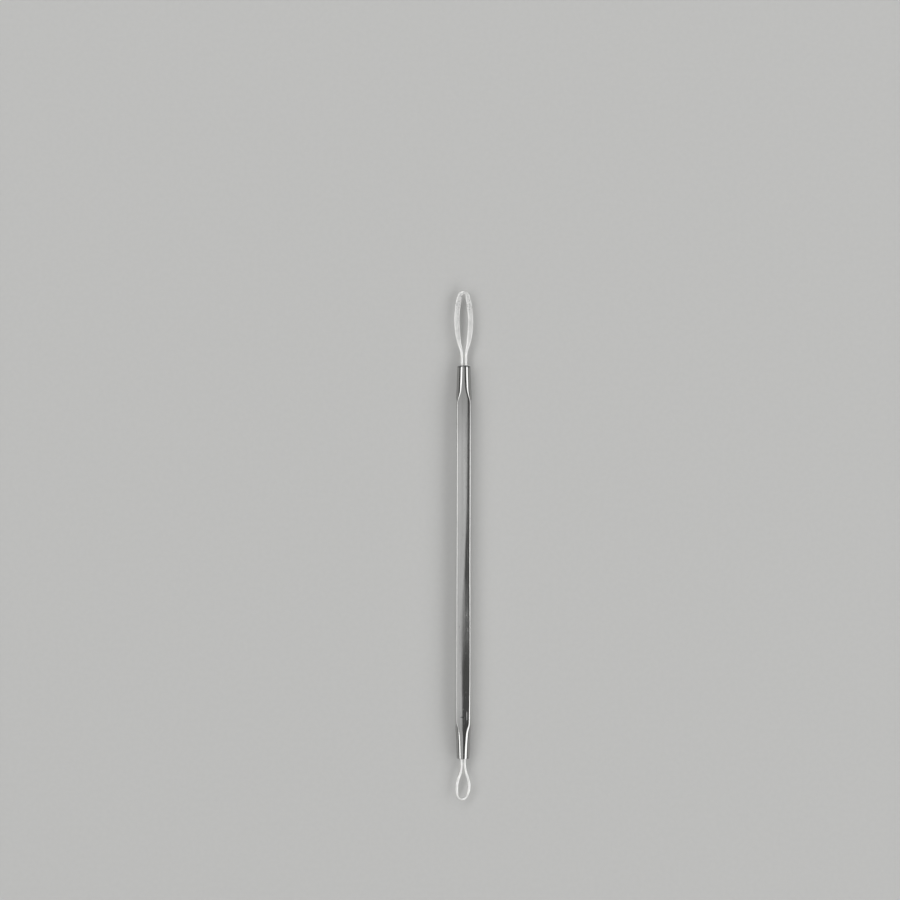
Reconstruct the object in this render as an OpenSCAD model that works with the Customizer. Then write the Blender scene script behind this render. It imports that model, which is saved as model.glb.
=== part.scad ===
// Blackhead extractor: a squared steel bar with a wire loop brazed into each tapered end.
// Millimetres. The tool lies along Y with its long loop towards +Y, and rests on Z = 0.

/* [Handle] */
// Length of the handle, from end face to end face
handle_length = 92.4; // [84:0.2:100]
// Width of the bar across its flats
bar_width = 3.42; // [3.2:0.02:3.8]
// Diameter over the bar's rounded corners
corner_dia = 4.46; // [4.3:0.02:4.5]
// How far the ridges on the left and right stand out from the bar, where it turns round
ridge_height = 0.12; // [0.08:0.01:0.18]
// Length of each taper, from its end face to the ridge
taper_length = 6.4; // [6:0.1:8]
// Diameter of the end face round the long loop
long_end_dia = 3.06; // [2.9:0.02:3.2]
// Diameter of the end face round the small loop
small_end_dia = 2.94; // [2.9:0.02:3.2]
// Depth of the blind bores that hold the wires
bore_depth = 9; // [8.5:0.5:12]

/* [Long loop] */
// How far the long loop reaches out of the handle
long_reach = 17.75; // [17:0.25:20]
// Diameter of its wire, round at the legs
long_wire = 0.76; // [0.7:0.02:0.8]
// Gap between its legs
long_leg_gap = 0.17; // [0.1:0.01:0.2]
// Width of the wire where its sides are pressed flat
long_side_width = 1.28; // [1:0.02:1.4]
// Width of the wire at the tip
long_tip_width = 0.8; // [0.8:0.02:1]
// Diameter of the bore that the legs sit in
long_bore_dia = 1.85; // [1.85:0.05:2]

/* [Small loop] */
// How far the small loop reaches out of the handle
small_reach = 9.85; // [9.5:0.05:11]
// Diameter of its wire, round at the legs
small_wire = 0.6; // [0.54:0.02:0.62]
// Gap between its legs
small_leg_gap = 0.11; // [0.08:0.01:0.12]
// Width of the wire at the sides of the loop
small_side_width = 0.64; // [0.56:0.02:0.7]
// Width of the wire at the tip, where it is ground slim
small_tip_width = 0.42; // [0.36:0.02:0.6]
// Thickness of the wire in the loop
small_thickness = 0.54; // [0.44:0.02:0.6]
// How far the tip leans to one side, as bent wire does
small_tip_lean = 0.3; // [0:0.05:0.4]
// Diameter of the bore that the legs sit in
small_bore_dia = 1.4; // [1.4:0.05:1.6]

/* [Hidden] */
$fn = 64;

overall_length = handle_length + long_reach + small_reach;
long_end_y = overall_length / 2 - long_reach;
small_end_y = long_end_y - handle_length;

// Handle: half-widths, and distances from an end face
bar_half = bar_width / 2;
ridge_half = bar_half + ridge_height;
corner_r = corner_dia / 2;
axis_z = bar_half;
edge_break = 0.15;
flat_tip = 4.2;
flat_tip_clearance = 0.01;
shoulder_start = taper_length - 1;
shoulder_run = 3.6;
shoulder_steps = 9;
ridge_land = 1.2;
ridge_runout = 0.5;
overshoot = 0.5;

// Bores and the braze that fills them round the wires
drill_point = 118;
leg_insert = 8;
mound_height = 0.3;
mound_spread = 0.12;
mound_top = 0.6;

// Each side of a loop is three bends: the neck opens, the side bows back in, the tip closes
long_neck_r = 8.4;
long_neck_turn = 15;
long_side_r = 25;
long_tip_r = 0.92;
small_neck_r = 8.3;
small_neck_turn = 21.6;
small_side_r = 6.9;
small_tip_r = 1.22;

// Flattening of the wire: where it starts, how soon it is full, and how far off the tip it is halfway back
long_press_start = 3.6;
long_press_run = 5.8;
long_tip_run = 1.1;
small_press_start = 3;
small_press_run = 3;
small_tip_run = 0.5;

neck_steps = 5;
side_steps = 12;
tip_steps = 10;
wire_sides = 20;

steel = [0.68, 0.68, 0.67];
bright_steel = [0.8, 0.8, 0.79];
filler = [0.55, 0.54, 0.5];

// Outlines of the handle

// Radius of the cone of a taper, at a distance from its end face
function taper_r(end_dia, distance) =
    end_dia / 2 + (ridge_half - end_dia / 2) * distance / taper_length;

// One end of the round envelope, as [radius, distance from the end face]
function round_end(end_dia) =
    let(shoulder_rise = corner_r - taper_r(end_dia, shoulder_start + shoulder_run))
    concat(
        [[end_dia / 2 - edge_break, 0], [end_dia / 2, edge_break]],
        [for (i = [0:shoulder_steps])
            let(t = i / shoulder_steps, distance = shoulder_start + shoulder_run * t)
            [taper_r(end_dia, distance) + shoulder_rise * t * t * (3 - 2 * t), distance]]
    );

// One end of the envelope of the left and right flats, as [half-width, distance from the end face]
function side_end(end_dia) = [
    [corner_r, -overshoot],
    [taper_r(end_dia, flat_tip) + flat_tip_clearance, flat_tip],
    [ridge_half, taper_length],
    [ridge_half, taper_length + ridge_land],
    [bar_half, taper_length + ridge_land + ridge_runout]
];

function reversed(list) = [for (i = [len(list) - 1:-1:0]) list[i]];

// Outline from the small end at 0 to the long end at handle_length
function from_end_to_end(small_end, long_end) =
    concat(small_end, [for (p = reversed(long_end)) [p.x, handle_length - p.y]]);

// Centrelines and sections of the loops

// Turn back to the axis that closes a loop, from the bends before it
function closing_turn(leg_x, neck_r, neck_turn, side_r, tip_r) =
    acos((side_r * cos(neck_turn) - leg_x - neck_r * (1 - cos(neck_turn))) / (side_r - tip_r));

// One side of a loop, from the foot of its leg to its tip: [x, height, heading, distance to tip]
function loop_side(reach, leg_x, neck_r, neck_turn, side_r, tip_r) =
    let(
        closing = closing_turn(leg_x, neck_r, neck_turn, side_r, tip_r),
        bend_height = neck_r * sin(neck_turn) + side_r * (sin(neck_turn) + sin(closing))
            + tip_r * (1 - sin(closing)),
        bend_start = reach - bend_height,
        side_x = leg_x + neck_r * (1 - cos(neck_turn)) - side_r * cos(neck_turn),
        side_height = bend_start + (neck_r + side_r) * sin(neck_turn),
        tip_arc = tip_r * (90 - closing) * PI / 180,
        whole = tip_arc + side_r * (neck_turn + closing) * PI / 180
    )
    concat(
        [for (height = [-leg_insert, 0]) [leg_x, height, 0, whole]],
        [for (i = [0:neck_steps])
            let(a = neck_turn * i / neck_steps)
            [leg_x + neck_r * (1 - cos(a)), bend_start + neck_r * sin(a), a, whole]],
        [for (i = [1:side_steps])
            let(a = neck_turn - (neck_turn + closing) * i / side_steps)
            [side_x + side_r * cos(a), side_height - side_r * sin(a), a,
                tip_arc + side_r * (a + closing) * PI / 180]],
        [for (i = [1:tip_steps])
            let(a = -closing - (90 - closing) * i / tip_steps)
            [tip_r * cos(a), reach - tip_r - tip_r * sin(a), a, tip_r * (90 + a) * PI / 180]]
    );

// The whole loop: up one side, over the tip and down the other
function whole_loop(side) = concat(
    side,
    [for (i = [len(side) - 2:-1:0]) [-side[i].x, side[i].y, -180 - side[i].z, side[i][3]]]
);

function pressed(height, start, run) = sin(90 * min(1, max(0, (height - start) / run)));
function near_tip(distance, run) = 1 / (1 + pow(distance / run, 2));

// Width of the wire, from round at the legs to wide at the sides and slim again at the tip
function wire_width(wire_dia, side_width, tip_width, press, tip_share) =
    wire_dia + press * (side_width - wire_dia - (side_width - tip_width) * tip_share);

// Thickness of a round wire pressed to a width, with its area kept and its edges round
function pressed_thickness(wire, width) =
    let(corner_loss = 1 - PI / 4)
    (width - sqrt(width * width - corner_loss * PI * wire * wire)) / (2 * corner_loss);

// Section of the wire, flat-sided with round edges, and round where the two sizes are equal
function section(width, thickness) =
    let(r = min(width, thickness) / 2)
    [for (i = [0:wire_sides - 1])
        let(a = (i + 0.5) * 360 / wire_sides)
        [sign(cos(a)) * (width / 2 - r) + r * cos(a),
            sign(sin(a)) * (thickness / 2 - r) + r * sin(a)]];

// Skin the rings of a bent wire, and close it with a face at each end
module wire(rings) {
    n = wire_sides;
    sides = [for (i = [0:len(rings) - 2], j = [0:n - 1], half = [0, 1])
        let(k = (j + 1) % n)
        half == 0 ? [i * n + j, i * n + n + j, i * n + n + k] : [i * n + j, i * n + n + k, i * n + k]];
    first = [[for (j = [0:n - 1]) j]];
    last = [[for (j = [n - 1:-1:0]) (len(rings) - 1) * n + j]];
    polyhedron([for (ring = rings, p = ring) p], concat(sides, first, last), convexity = 6);
}

// A ring at a station of the centreline, in the plane square to the wire
function ring_at(station, width, thickness, lean) = [for (p = section(width, thickness))
    [station.x + lean + p.x * cos(station.z), p.y, station.y - p.x * sin(station.z)]];

// Placing of what sits on an end of the handle, with its own +Z pointing out of the end face

module at_long_end() {
    translate([0, long_end_y, axis_z]) rotate([-90, 0, 0]) children();
}

module at_small_end() {
    translate([0, small_end_y, axis_z]) rotate([90, 0, 0]) children();
}

// Sub-parts

module blind_bore(dia) {
    point = dia / 2 / tan(drill_point / 2);
    rotate_extrude()
        polygon([[0, -bore_depth - point], [dia / 2, -bore_depth], [dia / 2, overshoot], [0, overshoot]]);
}

module side_flats() {
    outline = from_end_to_end(side_end(small_end_dia), side_end(long_end_dia));
    rotate([90, 0, 0])
        linear_extrude(corner_dia + overshoot, center = true)
            polygon(concat(outline, [for (p = reversed(outline)) [-p.x, p.y]]));
}

module top_and_bottom_flats() {
    translate([0, 0, handle_length / 2])
        cube([corner_dia + overshoot, bar_width, handle_length + overshoot], center = true);
}

module rounds() {
    outline = from_end_to_end(round_end(small_end_dia), round_end(long_end_dia));
    rotate_extrude() polygon(concat([[0, 0]], outline, [[0, handle_length]]));
}

module handle() {
    color(steel) difference() {
        translate([0, small_end_y, axis_z]) rotate([-90, 0, 0]) intersection() {
            rounds();
            side_flats();
            top_and_bottom_flats();
        }
        at_long_end() blind_bore(long_bore_dia);
        at_small_end() blind_bore(small_bore_dia);
    }
}

module long_loop() {
    side = loop_side(long_reach - long_tip_width / 2, (long_leg_gap + long_wire) / 2,
        long_neck_r, long_neck_turn, long_side_r, long_tip_r);
    rings = [for (s = whole_loop(side))
        let(
            press = pressed(s.y, long_press_start, long_press_run),
            width = wire_width(
                long_wire, long_side_width, long_tip_width, press, near_tip(s[3], long_tip_run))
        )
        ring_at(s, width, pressed_thickness(long_wire, width), 0)];
    color(bright_steel) at_long_end() wire(rings);
}

module small_loop() {
    side = loop_side(small_reach - small_tip_width / 2, (small_leg_gap + small_wire) / 2,
        small_neck_r, small_neck_turn, small_side_r, small_tip_r);
    bend_start = side[2].y;
    rings = [for (s = whole_loop(side))
        let(
            press = pressed(s.y, small_press_start, small_press_run),
            width = wire_width(
                small_wire, small_side_width, small_tip_width, press, near_tip(s[3], small_tip_run)),
            thickness = small_wire + (small_thickness - small_wire) * press,
            lean = -small_tip_lean * pow(max(0, s.y - bend_start) / (small_reach - bend_start), 2)
        )
        ring_at(s, width, thickness, lean)];
    color(bright_steel) at_small_end() wire(rings);
}

// Filler metal of one bore: it fills the bore round both legs and stands as a mound at the mouth
module braze(bore_dia, wire_dia, leg_gap) {
    point = bore_dia / 2 / tan(drill_point / 2);
    color(filler) difference() {
        rotate_extrude() polygon([
            [0, -bore_depth - point],
            [bore_dia / 2, -bore_depth],
            [bore_dia / 2, 0],
            [bore_dia / 2 + mound_spread, 0],
            [bore_dia / 2 * mound_top, mound_height],
            [0, mound_height]
        ]);
        for (side = [-1, 1])
            translate([side * (leg_gap + wire_dia) / 2, 0, -leg_insert])
                linear_extrude(leg_insert + overshoot) polygon(section(wire_dia, wire_dia));
    }
}

module long_loop_braze() {
    at_long_end() braze(long_bore_dia, long_wire, long_leg_gap);
}

module small_loop_braze() {
    at_small_end() braze(small_bore_dia, small_wire, small_leg_gap);
}

handle();
long_loop();
small_loop();
long_loop_braze();
small_loop_braze();
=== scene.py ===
import math
from dataclasses import dataclass

import bpy
from mathutils import Matrix, Vector, noise


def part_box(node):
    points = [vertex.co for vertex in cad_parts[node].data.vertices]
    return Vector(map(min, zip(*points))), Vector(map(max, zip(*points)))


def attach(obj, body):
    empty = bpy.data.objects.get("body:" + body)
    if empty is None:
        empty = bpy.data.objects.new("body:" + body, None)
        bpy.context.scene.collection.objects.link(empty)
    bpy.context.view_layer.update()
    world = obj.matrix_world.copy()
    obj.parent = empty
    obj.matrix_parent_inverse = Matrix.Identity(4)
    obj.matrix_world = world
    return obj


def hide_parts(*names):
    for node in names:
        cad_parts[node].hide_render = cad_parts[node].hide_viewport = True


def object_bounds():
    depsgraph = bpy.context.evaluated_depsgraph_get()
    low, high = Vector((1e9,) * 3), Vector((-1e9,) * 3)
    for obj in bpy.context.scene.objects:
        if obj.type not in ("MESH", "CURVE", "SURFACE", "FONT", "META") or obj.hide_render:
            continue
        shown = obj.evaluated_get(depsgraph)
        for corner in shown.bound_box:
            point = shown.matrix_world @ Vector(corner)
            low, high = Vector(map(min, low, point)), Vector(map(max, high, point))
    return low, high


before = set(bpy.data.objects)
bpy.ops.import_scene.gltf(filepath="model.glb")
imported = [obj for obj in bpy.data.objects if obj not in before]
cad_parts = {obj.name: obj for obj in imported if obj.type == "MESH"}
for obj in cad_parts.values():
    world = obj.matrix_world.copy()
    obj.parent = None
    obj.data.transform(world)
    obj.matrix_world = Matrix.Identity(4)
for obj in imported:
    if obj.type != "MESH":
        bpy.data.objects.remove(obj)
cad_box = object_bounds()

# Blackhead extractor: a squared steel bar with a wire loop brazed into each tapered end.
# The tool lies along Y on the floor, with its long loop towards +Y.
# Lengths are in millimetres until a mesh is made. Blender's own places are in metres.

MM = 0.001

# Places and sizes read from the frame


def box_mm(node):
    """Lowest and highest corner of a node, in millimetres."""
    low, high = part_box(node)
    return low / MM, high / MM


HANDLE_LOW, HANDLE_HIGH = box_mm("handle")
SMALL_END_Y = HANDLE_LOW.y
LONG_END_Y = HANDLE_HIGH.y
AXIS_Z = (HANDLE_LOW.z + HANDLE_HIGH.z) / 2
BAR_HALF = (HANDLE_HIGH.z - HANDLE_LOW.z) / 2
TOP_Z = AXIS_Z + BAR_HALF
RIDGE_HALF = (HANDLE_HIGH.x - HANDLE_LOW.x) / 2
LONG_REACH = box_mm("long_loop")[1].y - LONG_END_Y
SMALL_REACH = SMALL_END_Y - box_mm("small_loop")[0].y

# View: the photograph is square on to the tool, with the tool right of its middle and low

PICTURE_SIDE = 900
TOOL_SPAN_PIXELS = 509
TOOL_MIDDLE_PIXEL = (463.75, 545.5)
CAMERA_TURN = 0.0023
LENS = 60
SENSOR = 36
CLIP_START = 0.01

# Handle: its distances are from the nearer end face, apart from those whose names say Y

TAPER_LENGTH = 6.4
RIDGE_LAND = 1.2
RIDGE_RUNOUT = 0.6
LONG_END_HALF = 1.53
SMALL_END_HALF = 1.47
LONG_RIM_RADIUS = 0.16
SMALL_RIM_RADIUS = 0.1
LONG_SHOULDER = (5.4, 9)
SMALL_SHOULDER = (5.6, 9.2)
SHOULDER_RISE = 0.3
SIDE_FLAT_START = 4.2
FLAT_CLEARANCE = 0.1

# Powers that round the handle's corners: the higher the power, the sharper the corner. The blend
# powers do the same where the flats meet the turned taper.

LEFT_CORNER_POWER = 16
RIGHT_CORNER_POWER = 12
RIGHT_CORNER_SHARPER = 7
RIGHT_CORNER_RUN_Y = 30
LONG_BLEND_POWER = 40
SMALL_BLEND_POWER = 20
BAR_BLEND_GAIN = 3
BAR_BLEND_FROM = 7
BAR_BLEND_RUN = 2.5

# Hand polish of the flats: how round they are, as a share of the width, and where that changes

SIDE_CROWN = 0.012
TOP_CROWN = 0.058
TOP_CROWN_FLATTER = 0.022
FLATTER_MIDDLE_Y = -22
FLATTER_REACH_Y = 16
TOP_CROWN_SMALL_END = 0.05
SMALL_END_CROWN_FROM = 8
SMALL_END_CROWN_RUN = 10
TOP_LEAN = math.radians(2.6)
TOP_LEAN_FROM_Y = 12
TOP_LEAN_RUN_Y = 34
LEAN_LEAST_UP = 0.5
PAST_CORNER = 2
TINY = 1e-6

# Mesh of the handle

HANDLE_SIDES = 144
CORNER_DENSITY = 0.6
RIM_STEPS = 6
TAPER_RINGS_END = 3.4
TAPER_STEPS = 18
SHOULDER_RINGS_END = 10
SHOULDER_STEPS = 66
BAR_STEPS = 56

# Bores

BORE_DEPTH = 9
BORE_EDGE = 0.05
DRILL_POINT = math.radians(118)
LONG_BORE_RADIUS = 0.925
SMALL_BORE_RADIUS = 0.7

# Wires

LEG_INSERT = 8
WIRE_SIDES = 32
NECK_STEPS = 18
SIDE_STEPS = 54
TIP_STEPS = 26
LEG_STEPS = 12
ROUND_POWER = 2
HAND_BEND = 0.012
HAND_BEND_SCALE = 0.35
HAND_BEND_SEED = 50
HAND_BEND_FROM = 2
HAND_BEND_RUN = 4

# Braze: it laps a little into the edge of its bore, and its top falls away from the legs

BRAZE_SIDES = 64
BRAZE_STEPS = 14
BRAZE_LAP = 0.1
FILLET_FALL = 0.09
FILLET_SINK = 0.03


def clamp(value):
    return min(1, max(0, value))


def ease(value):
    """Rise from 0 to 1 with a level start and end."""
    t = clamp(value)
    return t * t * (3 - 2 * t)


# Camera, made before the pieces


def make_camera():
    """Camera straight above the tool, at the photograph's scale and framing."""
    overall = cad_box[1] - cad_box[0]
    middle = (cad_box[0] + cad_box[1]) / 2
    view_side = overall.y * PICTURE_SIDE / TOOL_SPAN_PIXELS
    pixel = view_side / PICTURE_SIDE
    distance = view_side * LENS / SENSOR
    data = bpy.data.cameras.new("camera")
    data.lens = LENS
    data.sensor_width = SENSOR
    data.clip_start = CLIP_START
    camera = bpy.data.objects.new("camera", data)
    right = (PICTURE_SIDE / 2 - TOOL_MIDDLE_PIXEL[0]) * pixel
    up = (TOOL_MIDDLE_PIXEL[1] - PICTURE_SIDE / 2) * pixel
    camera.location = (middle.x + right, middle.y + up, AXIS_Z * MM + distance)
    camera.rotation_euler = (0, 0, CAMERA_TURN)
    bpy.context.collection.objects.link(camera)
    bpy.context.scene.camera = camera


make_camera()

# Mesh helpers


def skin(name, rings, first_tip=None, last_tip=None):
    """Closed mesh through rings of equal count; an end is a fan to a tip, or a flat face."""
    points = [point for ring in rings for point in ring]
    count = len(rings[0])
    faces = []
    for i in range(len(rings) - 1):
        for j in range(count):
            k = (j + 1) % count
            faces.append((i * count + j, i * count + k, (i + 1) * count + k, (i + 1) * count + j))
    for tip, start, flip in ((first_tip, 0, True), (last_tip, (len(rings) - 1) * count, False)):
        edge = [start + j for j in range(count)]
        if flip:
            edge.reverse()
        if tip is None:
            faces.append(tuple(edge))
        else:
            points.append(tip)
            faces += [(edge[j], edge[(j + 1) % count], len(points) - 1) for j in range(count)]
    mesh = bpy.data.meshes.new(name)
    mesh.from_pydata([Vector(point) * MM for point in points], [], faces)
    mesh.validate()
    mesh.shade_smooth()
    piece = bpy.data.objects.new(name, mesh)
    bpy.context.collection.objects.link(piece)
    return piece


def stand_in_for(piece, node, material):
    """Give a piece its material and put it in the place of a node."""
    piece.data.materials.append(material)
    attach(piece, "root")
    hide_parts(node)


# Shape of the handle


def cone_half(s, end_half):
    """Radius of the taper's cone at a distance from the end face."""
    return end_half + (RIDGE_HALF - end_half) * s / TAPER_LENGTH


def round_radius(y, s, end_half):
    """Radius of the turned surface: the rim, the cone, and its shoulder running out at the corners."""
    rim_radius = LONG_RIM_RADIUS if y > 0 else SMALL_RIM_RADIUS
    rim = 0
    if s < rim_radius:
        rim = rim_radius - math.sqrt(rim_radius ** 2 - (rim_radius - s) ** 2)
    start, end = LONG_SHOULDER if y > 0 else SMALL_SHOULDER
    return cone_half(s, end_half) - rim + SHOULDER_RISE * ease((s - start) / (end - start))


def side_half(s, end_half):
    """Half-width over the left and right flats, with the ridge where the bar turns round."""
    if s < TAPER_LENGTH:
        return cone_half(s, end_half) + max(0, SIDE_FLAT_START - s) * FLAT_CLEARANCE
    drop = ease((s - TAPER_LENGTH - RIDGE_LAND) / RIDGE_RUNOUT)
    return RIDGE_HALF - (RIDGE_HALF - BAR_HALF) * drop


def top_crown(y):
    """How far the top and bottom flats are polished round, unevenly and most near the small end."""
    flatter = TOP_CROWN_FLATTER * ease(1 - abs(y - FLATTER_MIDDLE_Y) / FLATTER_REACH_Y)
    near_end = ease(1 - (y - SMALL_END_Y - SMALL_END_CROWN_FROM) / SMALL_END_CROWN_RUN)
    return TOP_CROWN - flatter + TOP_CROWN_SMALL_END * near_end


def top_lean(y):
    """How far the top flat leans to the right, as a tangent: hand polishing took more off that edge."""
    return math.tan(TOP_LEAN) * ease((TOP_LEAN_FROM_Y - y) / TOP_LEAN_RUN_Y)


def squared_place(along, out):
    """Square of how far from the middle of a flat to its corner a direction points, held past the corner."""
    return min(PAST_CORNER, (along / max(out, TINY)) ** 2)


def handle_radius(angle, y, s, end_half):
    """Radius of the handle in one direction, at a place y along it and s from the nearer end face."""
    across = abs(math.cos(angle))
    up = abs(math.sin(angle))
    crown = top_crown(y)
    lean = top_lean(y) if math.sin(angle) > 0 else 0
    lean_drop = lean * math.cos(angle) / max(up, LEAN_LEAST_UP) + lean ** 2 / (4 * crown)
    sides = across * (1 + SIDE_CROWN * squared_place(up, across)) / side_half(s, end_half)
    faces = up * (1 + crown * squared_place(across, up) + lean_drop) / BAR_HALF
    power = LEFT_CORNER_POWER
    if math.cos(angle) > 0:
        power = RIGHT_CORNER_POWER + RIGHT_CORNER_SHARPER * ease(-y / RIGHT_CORNER_RUN_Y)
    squared = (sides ** power + faces ** power) ** (-1 / power)
    blend = LONG_BLEND_POWER if y > 0 else SMALL_BLEND_POWER
    blend *= 1 + (BAR_BLEND_GAIN - 1) * ease((s - BAR_BLEND_FROM) / BAR_BLEND_RUN)
    return squared * (1 + (squared / round_radius(y, s, end_half)) ** blend) ** (-1 / blend)


def handle_angles():
    """Directions round the handle, closer together at its four corners."""
    steps = [2 * math.pi * j / HANDLE_SIDES for j in range(HANDLE_SIDES)]
    return [t + CORNER_DENSITY * math.sin(4 * t) / 4 for t in steps]


def end_stations(rim_radius):
    """Distances from an end face for the rings of a taper and its shoulder."""
    rim = [rim_radius * (1 - math.cos(math.pi / 2 * i / RIM_STEPS)) for i in range(RIM_STEPS + 1)]
    taper_step = (TAPER_RINGS_END - rim_radius) / TAPER_STEPS
    taper = [rim_radius + taper_step * i for i in range(1, TAPER_STEPS + 1)]
    shoulder_step = (SHOULDER_RINGS_END - TAPER_RINGS_END) / SHOULDER_STEPS
    shoulder = [TAPER_RINGS_END + shoulder_step * i for i in range(1, SHOULDER_STEPS + 1)]
    return rim + taper + shoulder


def handle_ring(y, s, end_half):
    ring = []
    for angle in handle_angles():
        radius = handle_radius(angle, y, s, end_half)
        ring.append((radius * math.cos(angle), y, AXIS_Z + radius * math.sin(angle)))
    return ring


def circle(y, radius):
    return [(radius * math.cos(a), y, AXIS_Z + radius * math.sin(a)) for a in handle_angles()]


def bore_rings(face_y, inward, radius):
    """Rings of a bore, from the bottom of its wall to its bevelled edge on the end face."""
    return [
        circle(face_y + inward * BORE_DEPTH, radius),
        circle(face_y + inward * BORE_DEPTH / 2, radius),
        circle(face_y + inward * BORE_EDGE, radius),
        circle(face_y, radius + BORE_EDGE),
    ]


def make_handle(material):
    """The steel bar as one closed skin: from inside the small end's bore, over the bar, into the other."""
    small_stations = end_stations(SMALL_RIM_RADIUS)
    long_stations = end_stations(LONG_RIM_RADIUS)
    small_face = SMALL_END_HALF - SMALL_RIM_RADIUS
    long_face = LONG_END_HALF - LONG_RIM_RADIUS
    rings = bore_rings(SMALL_END_Y, 1, SMALL_BORE_RADIUS)
    rings.append(circle(SMALL_END_Y, (SMALL_BORE_RADIUS + small_face) / 2))
    for s in small_stations:
        rings.append(handle_ring(SMALL_END_Y + s, s, SMALL_END_HALF))
    bar_start = SMALL_END_Y + small_stations[-1]
    bar_end = LONG_END_Y - long_stations[-1]
    for i in range(1, BAR_STEPS):
        y = bar_start + (bar_end - bar_start) * i / BAR_STEPS
        s = min(y - SMALL_END_Y, LONG_END_Y - y)
        rings.append(handle_ring(y, s, LONG_END_HALF))
    for s in reversed(long_stations):
        rings.append(handle_ring(LONG_END_Y - s, s, LONG_END_HALF))
    rings.append(circle(LONG_END_Y, (LONG_BORE_RADIUS + long_face) / 2))
    rings += reversed(bore_rings(LONG_END_Y, -1, LONG_BORE_RADIUS))
    small_tip = SMALL_END_Y + BORE_DEPTH + SMALL_BORE_RADIUS / math.tan(DRILL_POINT / 2)
    long_tip = LONG_END_Y - BORE_DEPTH - LONG_BORE_RADIUS / math.tan(DRILL_POINT / 2)
    piece = skin("handle_steel_bar", rings, (0, small_tip, AXIS_Z), (0, long_tip, AXIS_Z))
    stand_in_for(piece, "handle", material)


# Shape of the loops


@dataclass
class Loop:
    """Measures of one wire loop, as it stands on an end face of the handle."""

    # Place: the end face, the way out of it along Y, and how far the tip reaches
    face_y: float
    outward: int
    reach: float
    # Wire: thickness of the round legs and the gap between them, then widths of the pressed wire
    wire: float
    leg_gap: float
    side_width: float
    tip_width: float
    # Arcs of each side: a neck that turns out, a long side and the tip
    neck_r: float
    neck_turn: float
    side_r: float
    tip_r: float
    # Pressing: its start and run, how flat it makes the section, and the thickness, or None for the
    # thickness that follows from the width
    press_start: float
    press_run: float
    flatness: float
    pressed_to: float | None
    # How far from the tip the wire is slimmer, and how sharply that ends
    tip_run: float
    tip_power: int
    # Lean to the left at the tip: a part that grows evenly and a part that grows near the tip
    drift: float
    hook: float
    # Height of the braze that climbs the legs
    fillet: float

    def __post_init__(self):
        self.leg_x = (self.leg_gap + self.wire) / 2
        self.centre_reach = self.reach - self.tip_width / 2
        neck_out = self.leg_x + self.neck_r * (1 - math.cos(self.neck_turn))
        closing_cos = (self.side_r * math.cos(self.neck_turn) - neck_out) / (self.side_r - self.tip_r)
        self.closing = math.acos(closing_cos)
        bend_height = (
            self.neck_r * math.sin(self.neck_turn)
            + self.side_r * (math.sin(self.neck_turn) + math.sin(self.closing))
            + self.tip_r * (1 - math.sin(self.closing))
        )
        self.bend_start = self.centre_reach - bend_height
        self.side_x = neck_out - self.side_r * math.cos(self.neck_turn)
        self.side_height = self.bend_start + (self.neck_r + self.side_r) * math.sin(self.neck_turn)

    def one_side(self):
        """Centreline of one side from its leg's foot to the tip: x, height, heading, distance to the tip."""
        tip_arc = self.tip_r * (math.pi / 2 - self.closing)
        whole = tip_arc + self.side_r * (self.neck_turn + self.closing)
        line = [(self.leg_x, -LEG_INSERT, 0, whole)]
        for i in range(LEG_STEPS):
            line.append((self.leg_x, self.bend_start * i / LEG_STEPS, 0, whole))
        for i in range(NECK_STEPS + 1):
            a = self.neck_turn * i / NECK_STEPS
            x = self.leg_x + self.neck_r * (1 - math.cos(a))
            line.append((x, self.bend_start + self.neck_r * math.sin(a), a, whole))
        for i in range(1, SIDE_STEPS + 1):
            a = self.neck_turn - (self.neck_turn + self.closing) * i / SIDE_STEPS
            x = self.side_x + self.side_r * math.cos(a)
            to_tip = tip_arc + self.side_r * (a + self.closing)
            line.append((x, self.side_height - self.side_r * math.sin(a), a, to_tip))
        for i in range(1, TIP_STEPS + 1):
            a = -self.closing - (math.pi / 2 - self.closing) * i / TIP_STEPS
            height = self.centre_reach - self.tip_r - self.tip_r * math.sin(a)
            line.append((self.tip_r * math.cos(a), height, a, self.tip_r * (math.pi / 2 + a)))
        return line

    def centreline(self):
        side = self.one_side()
        other = [(-x, height, -math.pi - heading, to_tip) for x, height, heading, to_tip in side[-2::-1]]
        return side + other

    def pressing(self, height):
        """How far the wire is pressed flat at a height, from 0 to 1."""
        return math.sin(math.pi / 2 * clamp((height - self.press_start) / self.press_run))

    def width(self, height, to_tip):
        slimming = (self.side_width - self.tip_width) / (1 + (to_tip / self.tip_run) ** self.tip_power)
        return self.wire + self.pressing(height) * (self.side_width - self.wire - slimming)

    def thickness(self, width, pressing):
        if self.pressed_to is None:
            return pressed_thickness(self.wire, width)
        return self.wire + (self.pressed_to - self.wire) * pressing

    def lean(self, height):
        """Shift to the left, seen from the small end, of a loop that isn't bent quite true."""
        t = max(0, height) / self.reach
        return -self.outward * (self.drift * t + self.hook * t ** 3)


def pressed_thickness(wire, width):
    """Thickness of a round wire pressed to a width, with its area kept and its edges round."""
    corner_loss = 1 - math.pi / 4
    root = math.sqrt(width * width - corner_loss * math.pi * wire * wire)
    return (width - root) / (2 * corner_loss)


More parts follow.
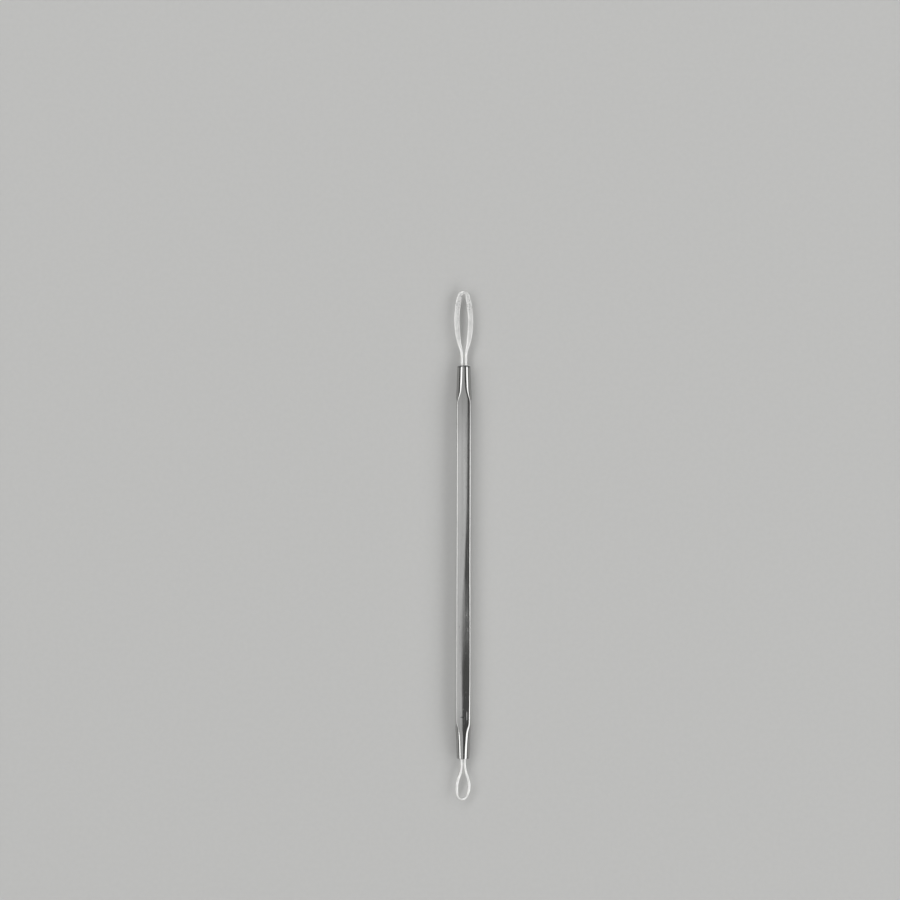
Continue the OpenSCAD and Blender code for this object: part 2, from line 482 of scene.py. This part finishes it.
LONG_LOOP = Loop(
    face_y=LONG_END_Y, outward=1, reach=LONG_REACH,
    wire=0.73, leg_gap=0.22, side_width=1.28, tip_width=0.8,
    neck_r=8.4, neck_turn=math.radians(15), side_r=25, tip_r=0.92,
    press_start=3.6, press_run=5.8, flatness=1.0, pressed_to=None,
    tip_run=1.1, tip_power=2, drift=0.15, hook=0, fillet=0.25,
)
SMALL_LOOP = Loop(
    face_y=SMALL_END_Y, outward=-1, reach=SMALL_REACH,
    wire=0.56, leg_gap=0.19, side_width=0.64, tip_width=0.42,
    neck_r=8.3, neck_turn=math.radians(21.6), side_r=6.9, tip_r=1.22,
    press_start=3, press_run=3, flatness=0.5, pressed_to=0.54,
    tip_run=1.85, tip_power=6, drift=-0.26, hook=0.55, fillet=0.14,
)


def wire_section(width, thickness, power):
    """Section of the wire: a circle or an ellipse at power 2, and squarer above it."""
    points = []
    for j in range(WIRE_SIDES):
        a = 2 * math.pi * (j + 0.5) / WIRE_SIDES
        across = math.copysign(abs(math.cos(a)) ** (2 / power), math.cos(a))
        up = math.copysign(abs(math.sin(a)) ** (2 / power), math.sin(a))
        points.append((across * width / 2, up * thickness / 2))
    return points


def hand_bend(loop, height, x):
    """Slight waviness of bent wire, none at the legs."""
    seed = Vector((x * HAND_BEND_SCALE, height * HAND_BEND_SCALE, loop.wire * HAND_BEND_SEED))
    return HAND_BEND * noise.noise(seed) * ease((height - HAND_BEND_FROM) / HAND_BEND_RUN)


def make_loop(name, node, loop, material):
    """One wire, from the foot of one leg round the loop to the foot of the other."""
    rings = []
    for x, height, heading, to_tip in loop.centreline():
        pressing = loop.pressing(height)
        width = loop.width(height, to_tip)
        power = ROUND_POWER + loop.flatness * pressing
        section = wire_section(width, loop.thickness(width, pressing), power)
        shift = hand_bend(loop, height, x)
        centre_x = x + loop.lean(height) + shift * math.cos(heading)
        centre_height = height - shift * math.sin(heading)
        ring = []
        for across, up in section:
            out_x = centre_x + across * math.cos(heading)
            out_height = centre_height - across * math.sin(heading)
            ring.append((loop.outward * out_x, loop.face_y + loop.outward * out_height, AXIS_Z + up))
        rings.append(ring)
    piece = skin(name, rings)
    stand_in_for(piece, node, material)


# Shape of the braze


def braze_height(loop, x, z):
    """Height of the filler above the end face: it climbs the legs and sinks away from them."""
    radius = loop.wire / 2
    gap = min(math.hypot(x - side * loop.leg_x, z) for side in (-1, 1)) - radius
    return loop.fillet * math.exp(-max(0, gap) / FILLET_FALL) - FILLET_SINK


def make_braze(name, node, loop, bore_radius, material):
    """Filler from the bottom of a bore to its mouth, with its top fitted round the two legs."""
    rings = []
    angles = [2 * math.pi * j / BRAZE_SIDES for j in range(BRAZE_SIDES)]
    point = bore_radius / math.tan(DRILL_POINT / 2)

    def ring(radius, height):
        made = []
        for a in angles:
            x = radius * math.cos(a)
            z = radius * math.sin(a)
            h = braze_height(loop, x, z) if height is None else height
            made.append((x, loop.face_y + loop.outward * h, AXIS_Z + z))
        return made

    outer = bore_radius + BRAZE_LAP
    rings.append(ring(bore_radius, -BORE_DEPTH))
    rings.append(ring(bore_radius, -BRAZE_LAP))
    rings.append(ring(outer, -BRAZE_LAP / 2))
    for i in range(BRAZE_STEPS):
        rings.append(ring(outer * (1 - i / BRAZE_STEPS), None))
    top = (0, loop.face_y + loop.outward * braze_height(loop, 0, 0), AXIS_Z)
    bottom = (0, loop.face_y - loop.outward * (BORE_DEPTH + point), AXIS_Z)
    piece = skin(name, rings, bottom, top)
    stand_in_for(piece, node, material)


# Textures: repeats per metre along each axis, and how many times finer noise is added to them

GRINDING_LINES = ((11000, 60, 11000), 4.0)
STREAKS = ((2600, 25, 2600), 3.0)
SMUDGES = ((420, 150, 420), 4.0)
SCRATCHES = ((5200, 160, 5200), 2.0)
NICKS = ((2400, 1500, 2400), 1.0)
WAVES = ((500, 110, 500), 1.0)
WIRE_CLOUD = ((1500, 700, 1500), 4.0)
WIRE_PEENING = ((5200, 4200, 5200), 3.0)
WIRE_PITS = ((3600, 2600, 3600), 2.0)
BRAZE_CLOUD = ((4000, 4000, 4000), 4.0)
FLOOR_MOTTLE = ((900, 900, 900), 2.0)

# Spans of a texture's values: the one that holds most of them, and those from which marks are made

NOISE_SPAN = (0.3, 0.7)
SMUDGE_SPAN = (0.5, 0.75)
SMUDGE_TONE_SPAN = (0.3, 0.6)
SCRATCH_SPAN = (0.66, 0.72)
NICK_SPAN = (0.7, 0.78)
PIT_SPAN = (0.53, 0.72)
RISING = (0.0, 1.0)
FALLING = (1.0, 0.0)

# Marks on the top flat, in millimetres: the middle, and the reach along each axis

# The crosswise mark is painted shade of a small notch; the other two marks change only roughness
CROSSWISE_MARK = ((-0.2, -40.2, TOP_Z), (0.8, 0.22, 1.2))
LENGTHWISE_MARK = ((0.86, -39.9, TOP_Z), (0.2, 1.9, 1.2))
DULLED_PATCH = ((0.7, -18.5, TOP_Z), (2.2, 13, 1.2))

# Roughness of the handle: the marks add theirs, and the tapers have a share of the bar's

GROUND_ROUGHNESS = (0.075, 0.12)
TAPER_POLISH_SPAN = (5, 11)
TAPER_POLISH = (0.6, 1.0)
SMUDGE_ROUGHNESS = 0.07
SCRATCH_ROUGHNESS = 0.1
NICK_ROUGHNESS = 0.12
LENGTHWISE_MARK_ROUGHNESS = 0.6
DULLED_ROUGHNESS = 0.1

# Tones of the handle, and shares of them by distance from an end face and on marks

HANDLE_TONES = (0.57, 0.63)
# Darker towards both end faces
LONG_END_DARKENING_SPAN = (5, 22)
LONG_END_DARKENING_TONE = (0.7, 1.0)
SMALL_END_DARKENING_SPAN = (5, 15)
SMALL_END_DARKENING_TONE = (0.73, 1.0)
# Painted shade on the long end's rim, where the legs and the braze meet the handle
LONG_RIM_PAINTED_SHADE_SPAN = (0.1, 0.4)
LONG_RIM_PAINTED_SHADE_TONE = (0.35, 1.0)
# Painted shade: the crosswise mark is a small notch painted dark, as its shade
CROSSWISE_NOTCH_PAINTED_SHADE = (1.0, 0.25)
SMUDGE_TONE = (0.95, 1.0)

# Roughness and tones of the wires, and shares of them along the tool

WIRE_ROUGHNESS = (0.48, 0.58)
WIRE_TONES = (0.76, 0.85)
# Painted sheen: the small loop is painted brighter, and the long loop darker beyond its legs
SMALL_WIRE_PAINTED_SHEEN = (1.09, 1.0)
LONG_WIRE_PAINTED_SHEEN_SPAN_Y = (LONG_END_Y + 3, LONG_END_Y + 7)
LONG_WIRE_PAINTED_SHEEN = (1.0, 0.89)
PITTED_SPAN_Y = (LONG_END_Y + 11, LONG_END_Y + 15.5)
PIT_SHARE = (0.25, 1.0)
PIT_TONE = (1.0, 0.45)

# Roughness and tones of the braze

BRAZE_ROUGHNESS = (0.35, 0.55)
BRAZE_TONES = (0.24, 0.38)

# Depths of the finest relief, in millimetres

WAVE_DEPTH = 0.006
NICK_DEPTH = 0.005
GRINDING_DEPTH = 0.0005
PEENING_DEPTH = 0.006
PIT_DEPTH = 0.01
BRAZE_BUMP_DEPTH = 0.02

# Floor, world and lamps: sizes in metres, angles in degrees, lamps' angles from overhead

WARM_BLUE = 0.985
WARM_WHITE = (1, 1, WARM_BLUE, 1)
FLOOR_SIDE = 16
FLOOR_TONES = (0.472, 0.48)
FLOOR_FADE = (0.2, 0.9)
BACKGROUND = 0.5
DIM_WORLD = 0.1
PALE_ENDS = 0.36
ENDWISE = (0.5, 0.9)
HORIZON = (0.05, 0.09)
LAMP_LENGTH = 3.4
SIDE_LAMP_DISTANCE = 1.3
CEILING_LAMP_DISTANCE = 1.35
LEFT_LAMP_ANGLES = (-54.8, -30.3)
LEFT_LAMP_TURN = -36
LEFT_LAMP_RADIANCE = 2.3
CEILING_LAMP_ANGLES = (-48.4, 6.4)
CEILING_LAMP_RADIANCE = 0.58
RIGHT_LAMP_ANGLES = (35, 68.3)
RIGHT_LAMP_TURN = -19
RIGHT_LAMP_RADIANCE = 2.4


# Material helpers


def add(tree, kind, settings, inputs):
    """A node with its settings; an input that is a socket is linked, any other is a value."""
    made = tree.nodes.new(kind)
    for name, value in settings.items():
        setattr(made, name, value)
    for name, value in inputs.items():
        if isinstance(value, bpy.types.NodeSocket):
            tree.links.new(value, made.inputs[name])
        else:
            made.inputs[name].default_value = value
    return made


def new_material(name):
    material = bpy.data.materials.new(name)
    material.use_nodes = True
    tree = material.node_tree
    return material, tree, tree.nodes["Principled BSDF"]


def object_place(tree):
    return add(tree, "ShaderNodeTexCoord", {}, {}).outputs["Object"]


def axes(tree, place):
    return add(tree, "ShaderNodeSeparateXYZ", {}, {0: place}).outputs


def grain(tree, place, texture):
    """Noise in the object's own space, from its repeats per metre along each axis and its detail."""
    scale, detail = texture
    stretched = add(tree, "ShaderNodeMapping", {}, {"Vector": place, "Scale": scale}).outputs[0]
    inputs = {"Vector": stretched, "Scale": 1.0, "Detail": detail}
    return add(tree, "ShaderNodeTexNoise", {}, inputs).outputs["Fac"]


def spread(tree, value, span, result):
    """Carry a value from one span to another, held at its ends."""
    inputs = {
        "Value": value,
        "From Min": span[0],
        "From Max": span[1],
        "To Min": result[0],
        "To Max": result[1],
    }
    return add(tree, "ShaderNodeMapRange", {"interpolation_type": "SMOOTHSTEP"}, inputs).outputs["Result"]


def in_metres(lengths):
    return tuple(length * MM for length in lengths)


def calculate(tree, operation, a, b):
    return add(tree, "ShaderNodeMath", {"operation": operation}, {0: a, 1: b}).outputs[0]


def total(tree, values):
    result = values[0]
    for value in values[1:]:
        result = calculate(tree, "ADD", result, value)
    return result


def product(tree, values):
    result = values[0]
    for value in values[1:]:
        result = calculate(tree, "MULTIPLY", result, value)
    return result


def dent(tree, height, depth, normal=None):
    """Bump of a depth in millimetres, over another bump if there is one."""
    inputs = {"Height": height, "Distance": depth * MM, "Strength": 1.0}
    if normal is not None:
        inputs["Normal"] = normal
    return add(tree, "ShaderNodeBump", {}, inputs).outputs["Normal"]


def grey(tree, shade, tones):
    """Slightly warm grey between two tones."""
    tone = spread(tree, shade, NOISE_SPAN, tones)
    less_blue = calculate(tree, "MULTIPLY", tone, WARM_BLUE)
    channels = {"Red": tone, "Green": tone, "Blue": less_blue}
    return add(tree, "ShaderNodeCombineColor", {}, channels).outputs[0]


def scaled(tree, colour, factor):
    return add(tree, "ShaderNodeVectorMath", {"operation": "SCALE"}, {0: colour, "Scale": factor}).outputs[0]


def stroke(tree, place, mark):
    """Soft mark: 1 in its middle, and 0 at its reach along each axis."""
    shares = []
    for coordinate, middle, reach in zip(axes(tree, place), *mark):
        away = calculate(tree, "ABSOLUTE", calculate(tree, "SUBTRACT", coordinate, middle * MM), 0)
        shares.append(spread(tree, away, in_metres((0, reach)), FALLING))
    return product(tree, shares)


# Materials


def from_end_faces(tree, place):
    """Distances along the handle from its long and its small end face, in metres."""
    along = axes(tree, place)[1]
    to_long = calculate(tree, "SUBTRACT", LONG_END_Y * MM, along)
    to_small = calculate(tree, "SUBTRACT", along, SMALL_END_Y * MM)
    return to_long, to_small


def handle_steel():
    """Steel ground along the bar and polished, darker towards both end faces, with painted shade on the long
    end's rim and in a crosswise notch.
    """
    material, tree, shader = new_material("handle_steel")
    place = object_place(tree)
    lines = grain(tree, place, GRINDING_LINES)
    streaks = grain(tree, place, STREAKS)
    smudges = grain(tree, place, SMUDGES)
    scratches = spread(tree, grain(tree, place, SCRATCHES), SCRATCH_SPAN, RISING)
    nicks = spread(tree, grain(tree, place, NICKS), NICK_SPAN, RISING)
    to_long, to_small = from_end_faces(tree, place)
    to_nearer = calculate(tree, "MINIMUM", to_long, to_small)
    notch_painted_shade = stroke(tree, place, CROSSWISE_MARK)
    lengthwise = stroke(tree, place, LENGTHWISE_MARK)
    dulled = stroke(tree, place, DULLED_PATCH)
    ground = product(tree, [
        spread(tree, streaks, NOISE_SPAN, GROUND_ROUGHNESS),
        spread(tree, to_nearer, in_metres(TAPER_POLISH_SPAN), TAPER_POLISH),
    ])
    roughness = total(tree, [
        ground,
        spread(tree, smudges, SMUDGE_SPAN, (0.0, SMUDGE_ROUGHNESS)),
        calculate(tree, "MULTIPLY", scratches, SCRATCH_ROUGHNESS),
        calculate(tree, "MULTIPLY", nicks, NICK_ROUGHNESS),
        product(tree, [lengthwise, smudges, LENGTHWISE_MARK_ROUGHNESS]),
        calculate(tree, "MULTIPLY", dulled, DULLED_ROUGHNESS),
    ])
    tree.links.new(roughness, shader.inputs["Roughness"])
    tone = product(tree, [
        # Darker towards both end faces
        spread(tree, to_long, in_metres(LONG_END_DARKENING_SPAN), LONG_END_DARKENING_TONE),
        spread(tree, to_small, in_metres(SMALL_END_DARKENING_SPAN), SMALL_END_DARKENING_TONE),
        # Painted shade on the long end's rim
        spread(tree, to_long, in_metres(LONG_RIM_PAINTED_SHADE_SPAN), LONG_RIM_PAINTED_SHADE_TONE),
        # Painted shade in the crosswise notch
        spread(tree, notch_painted_shade, RISING, CROSSWISE_NOTCH_PAINTED_SHADE),
        spread(tree, smudges, SMUDGE_TONE_SPAN, SMUDGE_TONE),
    ])
    colour = scaled(tree, grey(tree, streaks, HANDLE_TONES), tone)
    tree.links.new(colour, shader.inputs["Base Color"])
    waves = dent(tree, grain(tree, place, WAVES), WAVE_DEPTH)
    dents = dent(tree, calculate(tree, "MULTIPLY", nicks, -1.0), NICK_DEPTH, waves)
    tree.links.new(dent(tree, lines, GRINDING_DEPTH, dents), shader.inputs["Normal"])
    shader.inputs["Metallic"].default_value = 1
    return material


def wire_steel():
    """Tumbled steel wire, duller than the handle, with painted sheen that makes the small loop brighter and
    the long loop darker beyond its legs, and small pits where the long loop bends over.
    """
    material, tree, shader = new_material("wire_steel")
    place = object_place(tree)
    cloud = grain(tree, place, WIRE_CLOUD)
    peening = grain(tree, place, WIRE_PEENING)
    along = axes(tree, place)[1]
    near_tip = spread(tree, along, in_metres(PITTED_SPAN_Y), RISING)
    pits = product(tree, [
        spread(tree, grain(tree, place, WIRE_PITS), PIT_SPAN, RISING),
        spread(tree, near_tip, RISING, PIT_SHARE),
    ])
    tree.links.new(spread(tree, cloud, NOISE_SPAN, WIRE_ROUGHNESS), shader.inputs["Roughness"])
    tone = product(tree, [
        # Painted sheen along the tool, then the darker pits
        spread(tree, along, in_metres((SMALL_END_Y, LONG_END_Y)), SMALL_WIRE_PAINTED_SHEEN),
        spread(tree, along, in_metres(LONG_WIRE_PAINTED_SHEEN_SPAN_Y), LONG_WIRE_PAINTED_SHEEN),
        spread(tree, pits, RISING, PIT_TONE),
    ])
    tree.links.new(scaled(tree, grey(tree, cloud, WIRE_TONES), tone), shader.inputs["Base Color"])
    hollows = calculate(tree, "MULTIPLY", pits, -1.0)
    bumps = dent(tree, peening, PEENING_DEPTH, dent(tree, hollows, PIT_DEPTH))
    tree.links.new(bumps, shader.inputs["Normal"])
    shader.inputs["Metallic"].default_value = 1
    return material


def braze_metal():
    """Dull filler metal, a little rough and darker."""
    material, tree, shader = new_material("braze")
    place = object_place(tree)
    cloud = grain(tree, place, BRAZE_CLOUD)
    tree.links.new(spread(tree, cloud, NOISE_SPAN, BRAZE_ROUGHNESS), shader.inputs["Roughness"])
    tree.links.new(grey(tree, cloud, BRAZE_TONES), shader.inputs["Base Color"])
    tree.links.new(dent(tree, cloud, BRAZE_BUMP_DEPTH), shader.inputs["Normal"])
    shader.inputs["Metallic"].default_value = 1
    return material


# Studio


def make_floor():
    half = FLOOR_SIDE / 2
    corners = [(-half, -half, 0), (half, -half, 0), (half, half, 0), (-half, half, 0)]
    mesh = bpy.data.meshes.new("floor")
    mesh.from_pydata(corners, [], [(0, 1, 2, 3)])
    floor = bpy.data.objects.new("floor", mesh)
    bpy.context.collection.objects.link(floor)
    mesh.materials.append(floor_material())


def floor_material():
    """Pale matt floor that keeps the tool's shadow near it and fades to an even pale tone far off."""
    material, tree, shader = new_material("floor")
    place = object_place(tree)
    tree.links.new(grey(tree, grain(tree, place, FLOOR_MOTTLE), FLOOR_TONES), shader.inputs["Base Color"])
    shader.inputs["Roughness"].default_value = 1
    shader.inputs["Specular IOR Level"].default_value = 0
    away = add(tree, "ShaderNodeVectorMath", {"operation": "LENGTH"}, {0: place}).outputs["Value"]
    rays = add(tree, "ShaderNodeLightPath", {}, {}).outputs
    seen = total(tree, [rays["Is Camera Ray"], rays["Is Glossy Ray"], rays["Is Transmission Ray"]])
    far = spread(tree, away, FLOOR_FADE, RISING)
    share = calculate(tree, "MULTIPLY", far, calculate(tree, "MINIMUM", seen, 1.0))
    glow = add(tree, "ShaderNodeEmission", {}, {"Color": WARM_WHITE, "Strength": BACKGROUND})
    mixed = add(tree, "ShaderNodeMixShader", {}, {0: share, 1: shader.outputs[0], 2: glow.outputs[0]})
    tree.links.new(mixed.outputs[0], tree.nodes["Material Output"].inputs["Surface"])
    return material


def make_world():
    """Dim studio, paler beyond both ends of the tool, with a band of the floor's tone along the horizon."""
    world = bpy.data.worlds.new("studio")
    bpy.context.scene.world = world
    world.use_nodes = True
    tree = world.node_tree
    ground = tree.nodes["Background"]
    direction = add(tree, "ShaderNodeTexCoord", {}, {}).outputs["Generated"]
    parts = axes(tree, direction)
    along = calculate(tree, "ABSOLUTE", parts["Y"], 0)
    above = spread(tree, along, ENDWISE, (DIM_WORLD, PALE_ENDS))
    tree.links.new(spread(tree, parts["Z"], HORIZON, (BACKGROUND, above)), ground.inputs["Strength"])
    ground.inputs["Color"].default_value = WARM_WHITE


def strip(name, angles, turn, distance, radiance):
    """Long soft lamp between two angles from overhead, turned from the tool's own line."""
    low, high = angles
    width = 2 * distance * math.tan(math.radians((high - low) / 2))
    lamp = bpy.data.lights.new(name, "AREA")
    lamp.shape = "RECTANGLE"
    lamp.size = width
    lamp.size_y = LAMP_LENGTH
    lamp.energy = math.pi * radiance * width * LAMP_LENGTH
    holder = bpy.data.objects.new(name, lamp)
    turned = Matrix.Rotation(math.radians(turn), 4, "Z")
    tilted = Matrix.Rotation(math.radians((low + high) / 2), 4, "Y")
    holder.matrix_world = turned @ tilted @ Matrix.Translation((0, 0, distance))
    bpy.context.collection.objects.link(holder)


def make_lamps():
    strip("left_lamp", LEFT_LAMP_ANGLES, LEFT_LAMP_TURN, SIDE_LAMP_DISTANCE, LEFT_LAMP_RADIANCE)
    strip("ceiling_lamp", CEILING_LAMP_ANGLES, RIGHT_LAMP_TURN, CEILING_LAMP_DISTANCE, CEILING_LAMP_RADIANCE)
    strip("right_lamp", RIGHT_LAMP_ANGLES, RIGHT_LAMP_TURN, SIDE_LAMP_DISTANCE, RIGHT_LAMP_RADIANCE)


# Build

make_handle(handle_steel())
wire = wire_steel()
make_loop("long_wire_loop", "long_loop", LONG_LOOP, wire)
make_loop("small_wire_loop", "small_loop", SMALL_LOOP, wire)
braze = braze_metal()
make_braze("long_end_braze", "long_loop_braze", LONG_LOOP, LONG_BORE_RADIUS, braze)
make_braze("small_end_braze", "small_loop_braze", SMALL_LOOP, SMALL_BORE_RADIUS, braze)
make_floor()
make_world()
make_lamps()

bpy.context.scene.view_settings.view_transform = "Standard"
